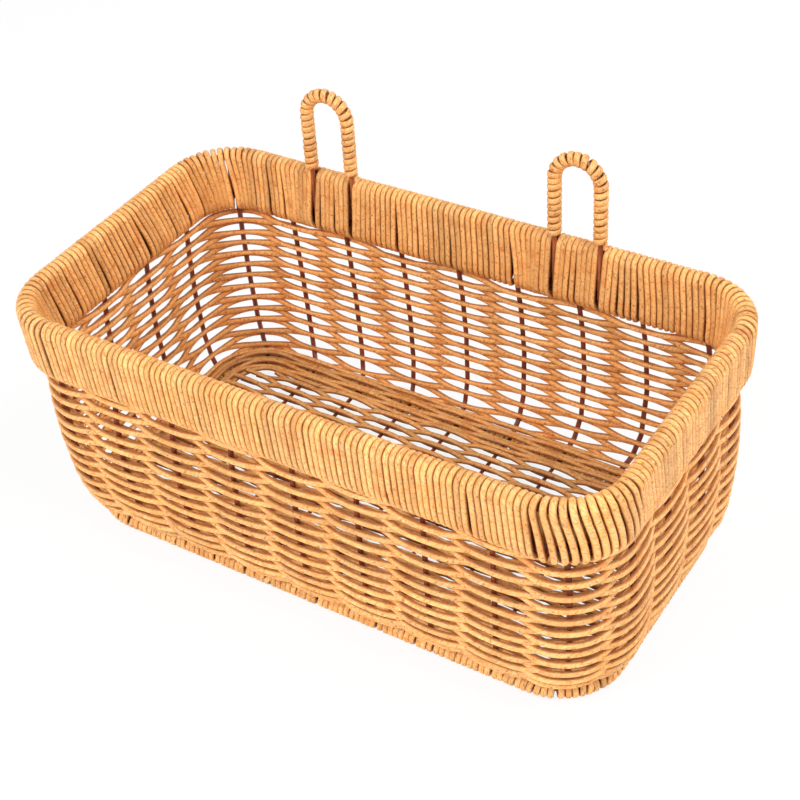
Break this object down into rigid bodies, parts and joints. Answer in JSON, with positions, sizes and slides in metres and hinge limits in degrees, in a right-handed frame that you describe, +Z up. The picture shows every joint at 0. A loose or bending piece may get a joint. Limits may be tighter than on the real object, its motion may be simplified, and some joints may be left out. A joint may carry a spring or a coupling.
{
  "type": "storage basket",
  "caption": "Rounded rectangular storage basket of cord woven on a wire frame, with a wound rim band, a wound base edge and wrapped wire loops on its back rim for hanging.",
  "frame": {"origin": "under the middle of the basket, on the surface that it stands on", "axes": "+X along the basket's length, with the right-hand loop on the +X side; +Y towards the back, where the hanging loops are; +Z up"},
  "size_m": [0.3308, 0.1798, 0.1872],
  "materials": {
    "woven_cord": "honey-coloured twisted paper cord, lightly varnished, with fine darker speckles",
    "painted_wire": "reddish brown paint on iron wire, half matt"
  },
  "bodies": {
    "root": {"rim_winding": "woven_cord", "wall_weave": "woven_cord", "base_winding": "woven_cord", "floor_weave": "woven_cord", "left_hanging_loop_winding": "woven_cord", "right_hanging_loop_winding": "woven_cord", "top_rim_wire": "painted_wire", "lower_rim_wire": "painted_wire", "base_ring_wire": "painted_wire", "left_hanging_loop_wire": "painted_wire", "right_hanging_loop_wire": "painted_wire", "stake_01": "painted_wire", "stake_02": "painted_wire", "stake_03": "painted_wire", "stake_04": "painted_wire", "stake_05": "painted_wire", "stake_06": "painted_wire", "stake_07": "painted_wire", "stake_08": "painted_wire", "stake_09": "painted_wire", "stake_10": "painted_wire", "stake_11": "painted_wire", "stake_12": "painted_wire", "stake_13": "painted_wire", "stake_14": "painted_wire", "stake_15": "painted_wire", "stake_16": "painted_wire", "stake_17": "painted_wire", "stake_18": "painted_wire", "stake_19": "painted_wire", "stake_20": "painted_wire", "stake_21": "painted_wire", "stake_22": "painted_wire", "stake_23": "painted_wire", "stake_24": "painted_wire", "stake_25": "painted_wire", "stake_26": "painted_wire", "floor_rib_1": "painted_wire", "floor_rib_2": "painted_wire", "floor_rib_3": "painted_wire", "floor_rib_4": "painted_wire", "floor_rib_5": "painted_wire", "floor_rib_6": "painted_wire", "floor_rib_7": "painted_wire"}
  },
  "joints": []
}
